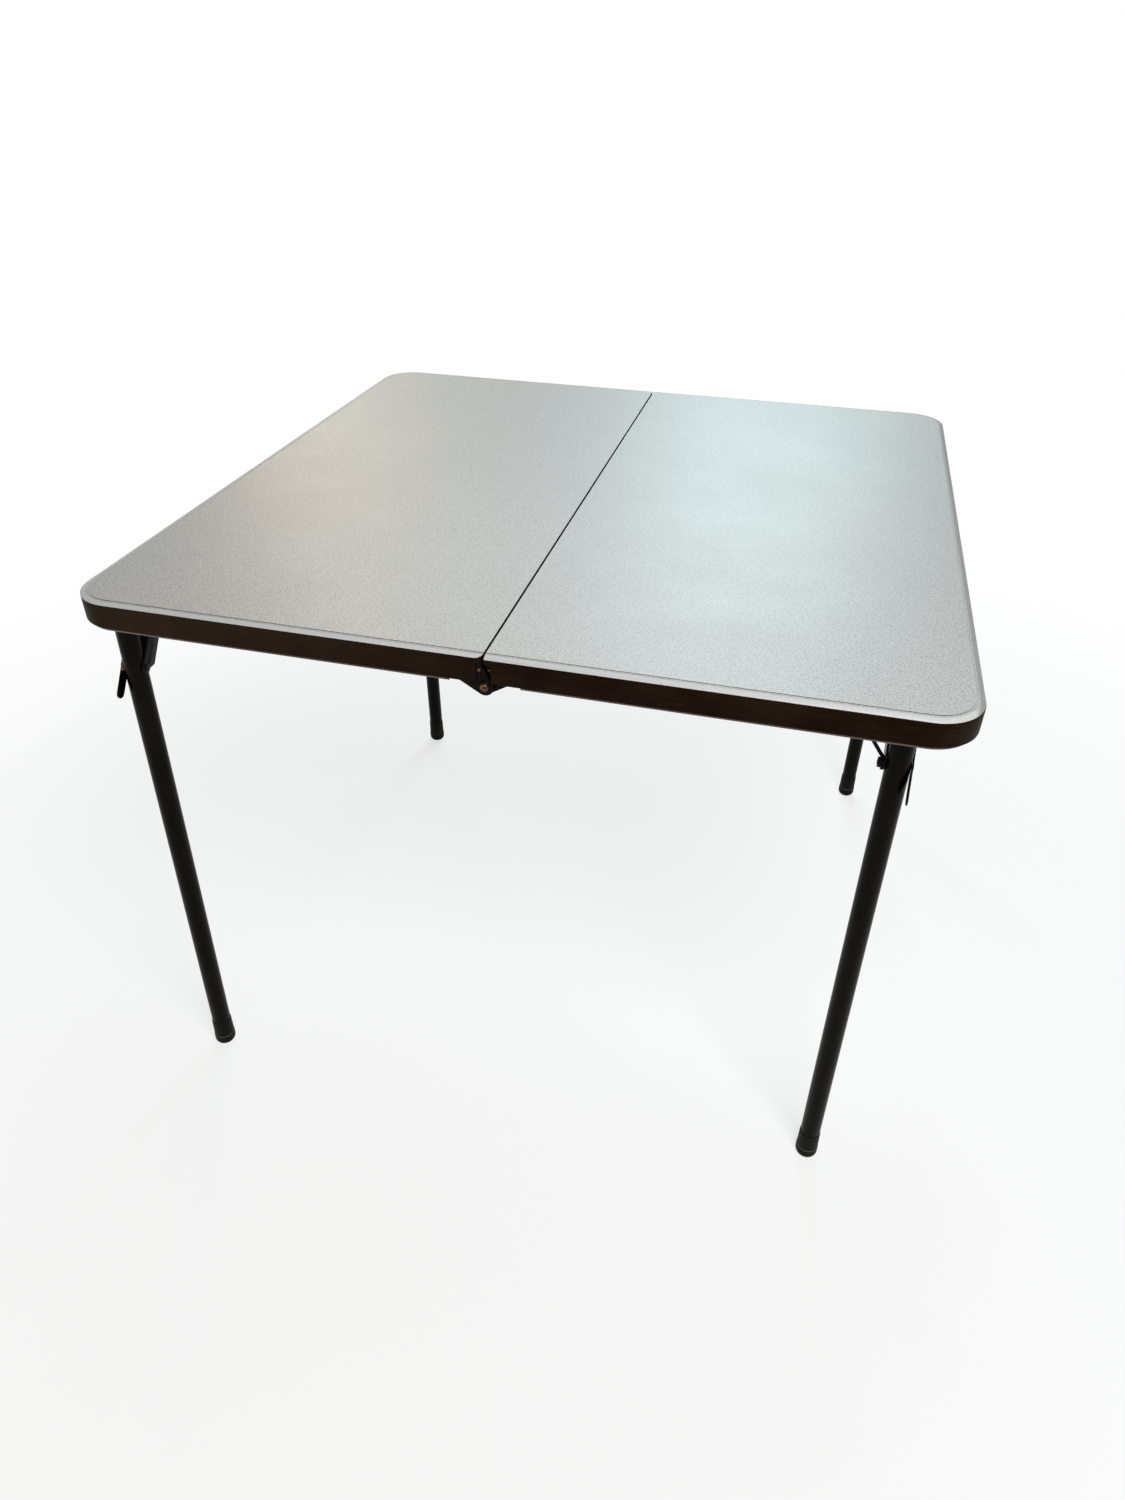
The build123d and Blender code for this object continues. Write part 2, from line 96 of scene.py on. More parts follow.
class Wire:
    """A value in a shader tree that takes part in Python sums."""

    def __init__(self, tree: bpy.types.NodeTree, socket: bpy.types.NodeSocket) -> None:
        """Keeps the tree and the output socket that carries the value."""
        self.tree = tree
        self.socket = socket

    def _sum(self, operation: str, first: "Wire | float", second: "Wire | float" = 0.0) -> "Wire":
        """Adds a Math node.

        Args:
            operation: the node's operation.
            first: value of the first input.
            second: value of the second input.

        Returns:
            The result.
        """
        node = self.tree.nodes.new("ShaderNodeMath")
        node.operation = operation
        for slot, value in zip(node.inputs, (first, second)):
            if isinstance(value, Wire):
                self.tree.links.new(value.socket, slot)
            else:
                slot.default_value = value
        return Wire(self.tree, node.outputs[0])

    def __add__(self, other: "Wire | float") -> "Wire":
        """This plus other."""
        return self._sum("ADD", self, other)

    def __radd__(self, other: float) -> "Wire":
        """Other plus this."""
        return self._sum("ADD", other, self)

    def __sub__(self, other: "Wire | float") -> "Wire":
        """This less other."""
        return self._sum("SUBTRACT", self, other)

    def __rsub__(self, other: float) -> "Wire":
        """Other less this."""
        return self._sum("SUBTRACT", other, self)

    def __mul__(self, other: "Wire | float") -> "Wire":
        """This times other."""
        return self._sum("MULTIPLY", self, other)

    def __rmul__(self, other: float) -> "Wire":
        """Other times this."""
        return self._sum("MULTIPLY", other, self)

    def size(self) -> "Wire":
        """The value without its sign."""
        return self._sum("ABSOLUTE", self)

    def step(self, low: float, high: float) -> "Wire":
        """Rises smoothly from 0 at low to 1 at high.

        Args:
            low: where it starts to rise.
            high: where it reaches 1.

        Returns:
            The mask.
        """
        node = self.tree.nodes.new("ShaderNodeMapRange")
        node.interpolation_type = "SMOOTHSTEP"
        node.inputs["From Min"].default_value = low
        node.inputs["From Max"].default_value = high
        self.tree.links.new(self.socket, node.inputs["Value"])
        return Wire(self.tree, node.outputs["Result"])


class Shader:
    """One material: a Principled shader with nodes added in front of it."""

    def __init__(self, name: str) -> None:
        """Starts a material with a bare Principled shader.

        Args:
            name: the material's name.
        """
        self.material = bpy.data.materials.new(name)
        self.material.use_nodes = True
        self.tree = self.material.node_tree
        self.tree.nodes.clear()
        self.output = self.tree.nodes.new("ShaderNodeOutputMaterial")
        self.surface = self.tree.nodes.new("ShaderNodeBsdfPrincipled")
        self.tree.links.new(self.surface.outputs[0], self.output.inputs["Surface"])
        self.place = self.node("ShaderNodeTexCoord", {}, {}).outputs["Object"]

    def node(
        self, kind: str, settings: dict[str, object], values: dict[str | int, object]
    ) -> bpy.types.Node:
        """Adds a node.

        Args:
            kind: the node's type.
            settings: its own settings, set first.
            values: values or links of its input sockets.

        Returns:
            The new node.
        """
        node = self.tree.nodes.new(kind)
        for key, value in settings.items():
            setattr(node, key, value)
        for key, value in values.items():
            if isinstance(value, Wire):
                value = value.socket
            if isinstance(value, bpy.types.NodeSocket):
                self.tree.links.new(value, node.inputs[key])
            else:
                node.inputs[key].default_value = value
        return node

    def wire(self, node: bpy.types.Node, output: str | int = 0) -> Wire:
        """One output of a node as a value for sums."""
        return Wire(self.tree, node.outputs[output])

    def axis(self, letter: str) -> Wire:
        """The place along one axis of the table, in metres."""
        return self.wire(self.node("ShaderNodeSeparateXYZ", {}, {0: self.place}), letter)

    def noise(self, size: float, detail: float = 2.0, stretch: Colour = (1.0, 1.0, 1.0)) -> Wire:
        """Soft random pattern.

        Args:
            size: size of its lumps in metres.
            detail: number of finer layers.
            stretch: how much closer the pattern is along each axis.

        Returns:
            Its value from 0 to 1.
        """
        mapped = self.node("ShaderNodeMapping", {}, {"Vector": self.place, "Scale": stretch})
        made = self.node(
            "ShaderNodeTexNoise",
            {"noise_dimensions": "3D"},
            {
                "Vector": mapped.outputs[0],
                "Scale": 1 / size,
                "Detail": detail,
                "Roughness": NOISE_ROUGHNESS,
            },
        )
        return self.wire(made)

    def pebbles(self, size: float) -> Wire:
        """Small rounded bumps of about one size.

        Args:
            size: distance between bumps in metres.

        Returns:
            Their height from 0 to about 1.
        """
        made = self.node(
            "ShaderNodeTexVoronoi",
            {"feature": "SMOOTH_F1", "voronoi_dimensions": "3D"},
            {
                "Vector": self.place,
                "Scale": 1 / size,
                "Smoothness": PEBBLE_SMOOTHNESS,
                "Randomness": 1.0,
            },
        )
        return 1 - self.wire(made, "Distance")

    def blend(self, share: "Wire | float", first: "Colour | Wire", second: "Colour | Wire") -> Wire:
        """Mixes two colours.

        Args:
            share: how much of the second.
            first: colour at 0.
            second: colour at 1.

        Returns:
            The mixed colour.
        """
        values = {MIX_SHARE: share}
        for slot, colour in ((MIX_FIRST, first), (MIX_SECOND, second)):
            values[slot] = colour if isinstance(colour, Wire) else (*colour, 1.0)
        mixed = self.node("ShaderNodeMix", {"data_type": "RGBA", "blend_type": "MIX"}, values)
        return self.wire(mixed, MIX_RESULT)

    def bump(self, height: Wire, depth: float) -> None:
        """Raises the surface by a height pattern.

        Args:
            height: pattern from 0 to 1.
            depth: real height of the pattern in metres.
        """
        made = self.node("ShaderNodeBump", {}, {"Height": height, "Strength": 1.0, "Distance": depth})
        self.tree.links.new(made.outputs[0], self.surface.inputs["Normal"])

    def set(self, **values: "Wire | float | Colour") -> None:
        """Sets the shader's own sockets, named with underscores for spaces.

        Args:
            **values: constants, or patterns for the sockets that take them.
        """
        for key, value in values.items():
            slot = self.surface.inputs[key.replace("_", " ")]
            if isinstance(value, Wire):
                self.tree.links.new(value.socket, slot)
            elif isinstance(value, tuple):
                slot.default_value = (*value, 1.0)
            else:
                slot.default_value = value


@dataclass(frozen=True)
class PebbledFinish:
    """The playing surface: satin plastic with a close pebbled grain; its grey is partly its own, partly painted
    glare.

    The rim is smoother, paler as a painted highlight, and darker along the right side as painted shade.
    """

    # The surface's grey is partly the plastic's own tone and partly painted glare of windows.
    base: Colour = (0.335, 0.335, 0.33)
    warm: Colour = (0.35, 0.325, 0.30)
    # The next two colours are painted shade in the grain's hollows and painted sparkle on its crests.
    hollow: Colour = (0.225, 0.22, 0.215)
    crest: Colour = (0.46, 0.465, 0.46)
    # The next two colours are a painted highlight on the rolled rim and painted shade on the rim along the right
    # side.
    rim: Colour = (0.46, 0.475, 0.47)
    rim_painted_shade: Colour = (0.17, 0.175, 0.17)
    rim_side: float = 457.0 * MM
    rim_fade: float = 8.0 * MM
    rim_top: float = 743.7 * MM
    rim_drop: float = 0.5 * MM
    cloud: float = 0.5
    hand: float = 0.09
    grain: float = 1.9 * MM
    speck: float = 1.1 * MM
    warm_span: Span = (0.35, 0.65)
    hollow_span: Span = (0.62, 0.36)
    hollow_shade_share: float = 0.75
    crest_span: Span = (0.36, 0.58)
    crest_sparkle_share: float = 0.55
    rim_highlight_share: float = 0.8
    rim_calm: float = 0.6
    grain_share: float = 0.75
    grain_depth: float = 0.2 * MM
    gloss: float = 0.36
    hand_gloss: float = 0.08
    speck_gloss: float = 0.1
    sheen_level: float = 0.34

    def build(self) -> bpy.types.Material:
        """Makes the material."""
        shader = Shader("pebbled_finish")
        broad = shader.noise(self.cloud, 1.0)
        handled = shader.noise(self.hand, 3.0)
        pebble = shader.pebbles(self.grain)
        fine = shader.noise(self.speck)
        plain = shader.blend(broad.step(*self.warm_span), self.base, self.warm)
        # Painted shade in the grain's hollows and painted sparkle on its crests.
        low = pebble.step(*self.hollow_span) * self.hollow_shade_share
        high = (pebble * fine).step(*self.crest_span) * self.crest_sparkle_share
        grain_shaded = shader.blend(high, shader.blend(low, plain, self.hollow), self.crest)
        on_rim = shader.axis("Z").step(self.rim_top, self.rim_top - self.rim_drop)
        # A painted highlight on the rim, with painted shade on it along the right side.
        second_tone = shader.axis("X").step(self.rim_side, self.rim_side + self.rim_fade)
        rim = shader.blend(second_tone, self.rim, self.rim_painted_shade)
        shader.set(
            Base_Color=shader.blend(on_rim * self.rim_highlight_share, grain_shaded, rim),
            Roughness=self.gloss + self.hand_gloss * handled + self.speck_gloss * fine,
            Specular_IOR_Level=self.sheen_level,
        )
        height = self.grain_share * pebble + (1 - self.grain_share) * fine
        shader.bump(height * (1 - self.rim_calm * on_rim), self.grain_depth)
        return shader.material


@dataclass(frozen=True)
class SkirtFinish:
    """The skirt and underside: dark brown-black plastic, fairly smooth, paler towards the left as painted light.
    """

    base: Colour = (0.006, 0.0026, 0.0008)
    # A paler tone, used by the moulded streaks and by the painted light towards the left.
    second_tone: Colour = (0.033, 0.0205, 0.012)
    # Painted light: the skirt turns paler between these two places towards the left.
    painted_light_from: float = 0.15
    painted_light_to: float = -0.45
    line: float = 0.7 * MM
    line_stretch: Colour = (0.05, 0.05, 1.0)
    line_depth: float = 0.05 * MM
    line_span: Span = (0.1, 0.4)
    line_share: float = 0.35
    painted_light_share: float = 0.65
    cloud: float = 60 * MM
    gloss: float = 0.40
    gloss_spread: float = 0.12
    sheen_level: float = 0.02

    def build(self) -> bpy.types.Material:
        """Makes the material."""
        shader = Shader("skirt_finish")
        lines = shader.noise(self.line, 2.0, self.line_stretch)
        cloud = shader.noise(self.cloud, 3.0)
        # Paler towards the left as painted light; the streaks are the plastic's own.
        lighter = shader.axis("X").step(self.painted_light_from, self.painted_light_to)
        pale = (lines * cloud).step(*self.line_span) * self.line_share + lighter * self.painted_light_share
        shader.set(
            Base_Color=shader.blend(pale, self.base, self.second_tone),
            Roughness=self.gloss + self.gloss_spread * lines,
            Specular_IOR_Level=self.sheen_level,
        )
        shader.bump(lines, self.line_depth)
        return shader.material


@dataclass(frozen=True)
class CoatFinish:
    """Paint on steel: a fine orange-peel skin with a little dust."""

    name: str = "black_coat_finish"
    base: Colour = (0.0024, 0.0018, 0.0011)
    dust: Colour = (0.0065, 0.005, 0.0034)
    gloss: float = 0.30
    sheen_level: float = 0.06
    dust_span: Span = (0.45, 0.8)
    dust_share: float = 0.6
    gloss_spread: float = 0.12
    cloud: float = 45 * MM
    skin: float = 0.9 * MM
    skin_depth: float = 0.03 * MM

    def build(self) -> bpy.types.Material:
        """Makes the material."""
        shader = Shader(self.name)
        broad = shader.noise(self.cloud, 3.0)
        skin = shader.noise(self.skin)
        shader.set(
            Base_Color=shader.blend(broad.step(*self.dust_span) * self.dust_share, self.base, self.dust),
            Roughness=self.gloss - self.gloss_spread / 2 + self.gloss_spread * broad,
            Specular_IOR_Level=self.sheen_level,
        )
        shader.bump(skin, self.skin_depth)
        return shader.material


@dataclass(frozen=True)
class BrightFinish:
    """Bronze-toned plated steel with fine turning marks."""

    base: Colour = (0.17, 0.085, 0.045)
    dark: Colour = (0.03, 0.016, 0.01)
    mark: float = 0.5 * MM
    mark_depth: float = 0.015 * MM
    stain: float = 3.2 * MM
    stain_span: Span = (0.35, 0.6)
    gloss: float = 0.16
    gloss_spread: float = 0.16

    def build(self) -> bpy.types.Material:
        """Makes the material."""
        shader = Shader("bright_steel_finish")
        marks = shader.noise(self.mark)
        stain = shader.noise(self.stain, 3.0)
        shader.set(
            Base_Color=shader.blend(stain.step(*self.stain_span), self.base, self.dark),
            Metallic=1.0,
            Roughness=self.gloss + self.gloss_spread * marks,
        )
        shader.bump(marks, self.mark_depth)
        return shader.material


@dataclass(frozen=True)
class CapFinish:
    """Black moulded plastic with a scuffed tread and a worn ring."""

    base: Colour = (0.0032, 0.0028, 0.0022)
    scuff: Colour = (0.022, 0.02, 0.018)
    ring: Colour = (0.12, 0.115, 0.105)
    tread: float = 9 * MM
    ring_height: float = 17.0 * MM
    ring_reach: float = 1.3 * MM
    ring_core: float = 0.2 * MM
    ring_least: float = 0.25
    grain: float = 0.8 * MM
    grain_depth: float = 0.05 * MM
    patch: float = 7 * MM
    patch_span: Span = (0.4, 0.65)
    scuff_share: float = 0.7
    gloss: float = 0.42
    gloss_spread: float = 0.2
    sheen_level: float = 0.08

    def build(self) -> bpy.types.Material:
        """Makes the material."""
        shader = Shader("cap_finish")
        height = shader.axis("Z")
        low = height.step(self.tread, 0.0)
        grain = shader.noise(self.grain, 3.0)
        patch = shader.noise(self.patch, 3.0)
        lighter = (height - self.ring_height).size().step(self.ring_reach, self.ring_core)
        scuffs = low * patch.step(*self.patch_span) * self.scuff_share
        scuffed = shader.blend(scuffs, self.base, self.scuff)
        second_tone = lighter * (self.ring_least + (1 - self.ring_least) * patch)
        shader.set(
            Base_Color=shader.blend(second_tone, scuffed, self.ring),
            Roughness=self.gloss + self.gloss_spread * grain,
            Specular_IOR_Level=self.sheen_level,
        )
        shader.bump(grain, self.grain_depth)
        return shader.material


class Part(Enum):
    """What a selection picks in edit mode."""

    FACE = "FACE"
    EDGE = "EDGE"


def deselect() -> None:
    """Clears the selection, so that an operator acts on the next piece alone."""
    if bpy.context.object is not None and bpy.context.object.mode != "OBJECT":
        bpy.ops.object.mode_set(mode="OBJECT")
    bpy.ops.object.select_all(action="DESELECT")


def activate(*pieces: bpy.types.Object) -> None:
    """Selects some pieces alone, with the first one active.

    Args:
        *pieces: the pieces.
    """
    deselect()
    for piece in pieces:
        piece.select_set(True)
    bpy.context.view_layer.objects.active = pieces[0]


def joined(pieces: list[bpy.types.Object], name: str) -> bpy.types.Object:
    """Joins some pieces into one.

    Args:
        pieces: the pieces.
        name: name of the whole.

    Returns:
        The whole.
    """
    activate(*pieces)
    bpy.ops.object.join()
    whole = bpy.context.object
    whole.name = name
    return whole


@contextmanager
def editing(piece: bpy.types.Object) -> Iterator[None]:
    """Opens edit mode on one piece and leaves it again.

    Args:
        piece: the piece to shape.

    Yields:
        Nothing.
    """
    activate(piece)
    bpy.ops.object.mode_set(mode="EDIT")
    bpy.ops.mesh.select_mode(type="FACE")
    bpy.ops.mesh.select_all(action="DESELECT")
    yield
    bpy.ops.object.mode_set(mode="OBJECT")


def pick(
    piece: bpy.types.Object, part: Part, test: Callable[[bmesh.types.BMFace | bmesh.types.BMEdge], bool]
) -> None:
    """Selects the faces or the edges that pass a test, in edit mode.

    Args:
        piece: the piece that is open in edit mode.
        part: faces or edges.
        test: says whether one of them is wanted.
    """
    bpy.ops.mesh.select_mode(type=part.value)
    bpy.ops.mesh.select_all(action="DESELECT")
    mesh = bmesh.from_edit_mesh(piece.data)
    for found in mesh.faces if part is Part.FACE else mesh.edges:
        if test(found):
            found.select_set(True)
    bmesh.update_edit_mesh(piece.data)


def bevel_edges(
    piece: bpy.types.Object, test: Callable[[bmesh.types.BMEdge], bool], width: float, segments: int
) -> None:
    """Rounds the edges that pass a test, in edit mode.

    Args:
        piece: the piece that is open in edit mode.
        test: says whether an edge is wanted.
        width: width of the rounding in metres.
        segments: faces across it.
    """
    pick(piece, Part.EDGE, test)
    bpy.ops.mesh.bevel(offset=width, segments=segments, profile=0.5, affect="EDGES", clamp_overlap=True)


def cut(place: Vector | Place, way: Vector | Place, trim: bool = False) -> None:
    """Cuts every face of the piece in edit mode along a plane.

    Args:
        place: a point of the plane.
        way: the plane's normal.
        trim: takes away what lies behind the plane, and closes the piece there.
    """
    bpy.ops.mesh.select_all(action="SELECT")
    bpy.ops.mesh.bisect(plane_co=place, plane_no=way, use_fill=trim, clear_inner=trim, threshold=TOUCH)


def face_outwards() -> None:
    """Turns every face of the closed piece in edit mode outwards."""
    bpy.ops.mesh.select_all(action="SELECT")
    bpy.ops.mesh.normals_make_consistent(inside=False)


def smooth(piece: bpy.types.Object, angle: float = 34.0) -> None:
    """Shades a piece smooth but keeps edges sharper than the angle, in degrees."""
    activate(piece)
    bpy.ops.object.shade_smooth_by_angle(angle=radians(angle))


def settle(piece: bpy.types.Object, turn: Matrix) -> None:
    """Moves a piece to its place and writes the place into its mesh.

    Args:
        piece: a piece modelled about the origin.
        turn: where it goes.
    """
    piece.matrix_world = turn
    activate(piece)
    bpy.ops.object.transform_apply(location=True, rotation=True, scale=True)


def cleaned_copy(node: str, name: str) -> bpy.types.Object:
    """A new piece with a CAD node's outline, its triangles merged into whole faces.

    Args:
        node: the CAD node.
        name: the new piece's name.

    Returns:
        The new piece.
    """
    piece = bpy.data.objects.new(name, frame["nodes"][node].data.copy())
    bpy.context.scene.collection.objects.link(piece)
    with editing(piece):
        bpy.ops.mesh.select_all(action="SELECT")
        bpy.ops.mesh.customdata_custom_splitnormals_clear()
        bpy.ops.mesh.remove_doubles(threshold=2 * TOUCH)
        bpy.ops.mesh.dissolve_limited(angle_limit=radians(FLAT_ANGLE))
    return piece


def round_edges(piece: bpy.types.Object, width: float, segments: int = 2, angle: float = 35.0) -> None:
    """Rounds every sharp edge of a piece.

    Args:
        piece: the piece.
        width: width of the rounding in metres.
        segments: faces across it.
        angle: least angle of an edge that is rounded, in degrees.
    """
    activate(piece)
    bevel = piece.modifiers.new("rounding", "BEVEL")
    bevel.width = width
    bevel.segments = segments
    bevel.limit_method = "ANGLE"
    bevel.angle_limit = radians(angle)
    bpy.ops.object.modifier_apply(modifier=bevel.name)


def finish_piece(piece: bpy.types.Object, finish: bpy.types.Material, *nodes: str) -> None:
    """Dresses a new piece and puts it in the place of its CAD nodes.

    Args:
        piece: the new piece.
        finish: its material.
        *nodes: the CAD nodes of one body that it stands for.
    """
    piece.data.materials.clear()
    piece.data.materials.append(finish)
    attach(piece, BODY_OF[nodes[0]])
    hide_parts(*nodes)
    log.info("%s: %d faces, for %s", piece.name, len(piece.data.polygons), ", ".join(nodes))


def dress_faces(
    piece: bpy.types.Object, finish: bpy.types.Material, test: Callable[[bpy.types.MeshPolygon], bool]
) -> None:
    """Gives some faces of a dressed piece a finish of their own.

    Args:
        piece: the piece.
        finish: the material of those faces.
        test: says whether a face gets it.
    """
    piece.data.materials.append(finish)
    for face in piece.data.polygons:
        if test(face):
            face.material_index = len(piece.data.materials) - 1


@dataclass
class PaintShop:
    """The finishes, made once and shared."""

    top: PebbledFinish = field(default_factory=PebbledFinish)
    skirt: SkirtFinish = field(default_factory=SkirtFinish)
    black: CoatFinish = field(default_factory=CoatFinish)
    # The rail's brown is a painted reflection of a warm wooden floor; the rail itself is near black.
    rail: CoatFinish = field(
        default_factory=lambda: CoatFinish(
            name="rail_painted_reflection_finish",
            base=(0.17, 0.095, 0.055),
            dust=(0.23, 0.13, 0.078),
            gloss=0.26,
            sheen_level=0.5,
        )
    )
    warm: CoatFinish = field(
        default_factory=lambda: CoatFinish(
            name="channel_inside_finish",
            base=(0.40, 0.215, 0.105),
            dust=(0.30, 0.16, 0.08),
            gloss=0.34,
            sheen_level=0.4,
        )
    )
    # Paler slanting facets of the hinge leaves: a painted reflection of the sky.
    leaf: CoatFinish = field(
        default_factory=lambda: CoatFinish(
            name="leaf_reflection_finish",
            base=(0.036, 0.032, 0.028),
            dust=(0.055, 0.05, 0.045),
            sheen_level=0.2,
        )
    )
    bright: BrightFinish = field(default_factory=BrightFinish)
    cap: CapFinish = field(default_factory=CapFinish)
    made: dict[Slot, bpy.types.Material] = field(default_factory=dict)
    pebbled: bpy.types.Material | None = None
    channel_inside: bpy.types.Material | None = None
    leaf_reflection: bpy.types.Material | None = None

    def open(self) -> None:
        """Makes every material."""
        self.made = {
            Slot.PANEL: self.skirt.build(),
            Slot.RAIL: self.rail.build(),
            Slot.BLACK: self.black.build(),
            Slot.BRIGHT: self.bright.build(),
            Slot.CAP: self.cap.build(),
        }
        self.pebbled = self.top.build()
        self.channel_inside = self.warm.build()
        self.leaf_reflection = self.leaf.build()

    def of(self, node: str) -> bpy.types.Material:
        """The finish of a CAD node's slot."""
        return self.made[SLOT_OF[node]]

    def dress_nodes(self) -> None:
        """Gives every CAD node its finish."""
        for name, node in frame["nodes"].items():
            node.data.materials.clear()
            node.data.materials.append(self.of(name))


@dataclass
class MouldedHalf:
    """One half of the top: a rolled rim, a skirt and the hollow underside."""

    side: str
    shop: PaintShop
    rim_edge: float = 741.8 * MM
    top: float = 744.0 * MM
    skirt_foot: float = 714.0 * MM
    roll: float = 3.2 * MM
    crest: float = 2.4 * MM
    foot: float = 0.9 * MM
    paint_line: float = 740.6 * MM
    paint_slope: float = 0.03
    arc_middle: float = 420.0 * MM
    line_reach: float = 42.5 * MM
    notch: float = 8.0 * MM
    notch_round: float = 2.0 * MM
    notch_end: float = 469.0 * MM
    near: float = 0.02 * MM
    sharp: float = 8.0
    level_normal: float = 0.99
    smooth_angle: float = 28.0

    def build(self) -> None:
        """Makes the half."""
        node = "top_panel_" + self.side
        piece = cleaned_copy(node, "moulded_half_" + self.side)
        with editing(piece):
            for level, width, segments in (
                (self.rim_edge, self.roll, 5),
                (self.top, self.crest, 3),
                (self.skirt_foot, self.foot, 3),
            ):
                bevel_edges(piece, self.outline(level), width, segments)
            bevel_edges(piece, self.notch_corner, self.notch_round, 4)
            cut((0.0, 0.0, self.paint_line), UP)
        smooth(piece, self.smooth_angle)
        finish_piece(piece, self.shop.of(node), node)
        dress_faces(piece, self.shop.pebbled, self.looks_up)

    def looks_up(self, face: bpy.types.MeshPolygon) -> bool:
        """Whether a face belongs to the pebbled surface or its rim."""
        return face.center.z > self.paint_line and face.normal.z > self.paint_slope

    def notch_corner(self, edge: bmesh.types.BMEdge) -> bool:
        """Whether an edge is the upright corner between the skirt and the notch at the seam."""
        first, second = (v.co for v in edge.verts)
        upright = (first.xy - second.xy).length < self.near
        middle = (first + second) / 2
        at_notch = abs(abs(middle.x) - self.notch) < self.near
        return upright and at_notch and abs(middle.y) > self.notch_end

    def outline(self, level: float) -> Callable[[bmesh.types.BMEdge], bool]:
        """A test for the level edges of the outer outline at one height.

        Args:
            level: the height in metres.

        Returns:
            The test.
        """

        def wanted(edge: bmesh.types.BMEdge) -> bool:
            """Whether the edge is level, sharp and on the outline."""
            if any(abs(v.co.z - level) > self.near for v in edge.verts):
                return False
            if len(edge.link_faces) != 2 or edge.calc_face_angle(0.0) < radians(self.sharp):
                return False
            return any(
                face.normal.z < self.level_normal and self.faces_out(face) for face in edge.link_faces
            )

        return wanted

    def faces_out(self, face: bmesh.types.BMFace) -> bool:
        """Whether a face looks away from the middle of the table, past the pressed line."""
        middle = face.calc_center_median()
        outward = face.normal.x * middle.x + face.normal.y * middle.y > 0
        past = Vector([max(abs(place) - self.arc_middle, 0.0) for place in middle.xy])
        return outward and past.length > self.line_reach


@dataclass
class SeamWalls:
    """Dark walls that close the seam from below.

    Each half has a block behind its hinge leaf at both ends. The left half also has a lip along the
    seam, turned down at both ends.
    """

    side: str
    shop: PaintShop
    gap: float = 1.2 * MM
    reach: float = 8.0 * MM
    block_near: float = 456.8 * MM
    block_far: float = 461.2 * MM
    block_low: float = 718.0 * MM
    block_high: float = 738.9 * MM
    lip: float = 1.05 * MM
    lip_reach: float = 466.0 * MM
    lip_low: float = 733.5 * MM
    lip_high: float = 739.5 * MM
    soft: float = 0.4 * MM

    def build(self) -> None:
        """Makes the walls of one half as one piece."""
        way = -1 if self.side == "left" else 1
        blocks = self.ends(way * (self.gap + self.reach) / 2, self.reach - self.gap, self.block_high)
        if self.side == "left":
            size = (2 * self.lip, 2 * self.lip_reach)
            blocks.append(self.block((0.0, 0.0), size, self.lip_low, self.lip_high))
            blocks += self.ends(0.0, 2 * self.lip, self.lip_low)
        piece = joined(blocks, "seam_walls_" + self.side)
        smooth(piece)
        piece.data.materials.append(self.shop.made[Slot.PANEL])
        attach(piece, self.side + "_half")
        log.info("%s: %d faces", piece.name, len(piece.data.polygons))

    def ends(self, middle: float, width: float, high: float) -> list[bpy.types.Object]:
        """A block at the front end and at the back end of the seam.

        Args:
            middle: its middle across the seam.
            width: its width across the seam.
            high: its top.

        Returns:
            The two blocks.
        """
        place = (self.block_near + self.block_far) / 2
        size = (width, self.block_far - self.block_near)
        return [self.block((middle, end * place), size, self.block_low, high) for end in (-1, 1)]

    def block(
        self, middle: tuple[float, float], size: tuple[float, float], low: float, high: float
    ) -> bpy.types.Object:
        """One upright block with its upper edges rounded.

        Args:
            middle: its middle in plan.
            size: its size in plan.
            low: its foot.
            high: its top.

        Returns:
            The block.
        """
        deselect()
        bpy.ops.mesh.primitive_plane_add(size=1.0, location=(*middle, low))
        piece = bpy.context.object
        piece.scale = (*size, 1.0)
        bpy.ops.object.transform_apply(location=True, rotation=True, scale=True)
        with editing(piece):
            bpy.ops.mesh.select_all(action="SELECT")
            bpy.ops.mesh.extrude_region_move(TRANSFORM_OT_translate={"value": (0.0, 0.0, high - low)})
            upper = high - self.soft
            bevel_edges(piece, lambda edge: all(v.co.z > upper for v in edge.verts), self.soft, 3)
            face_outwards()
        return piece


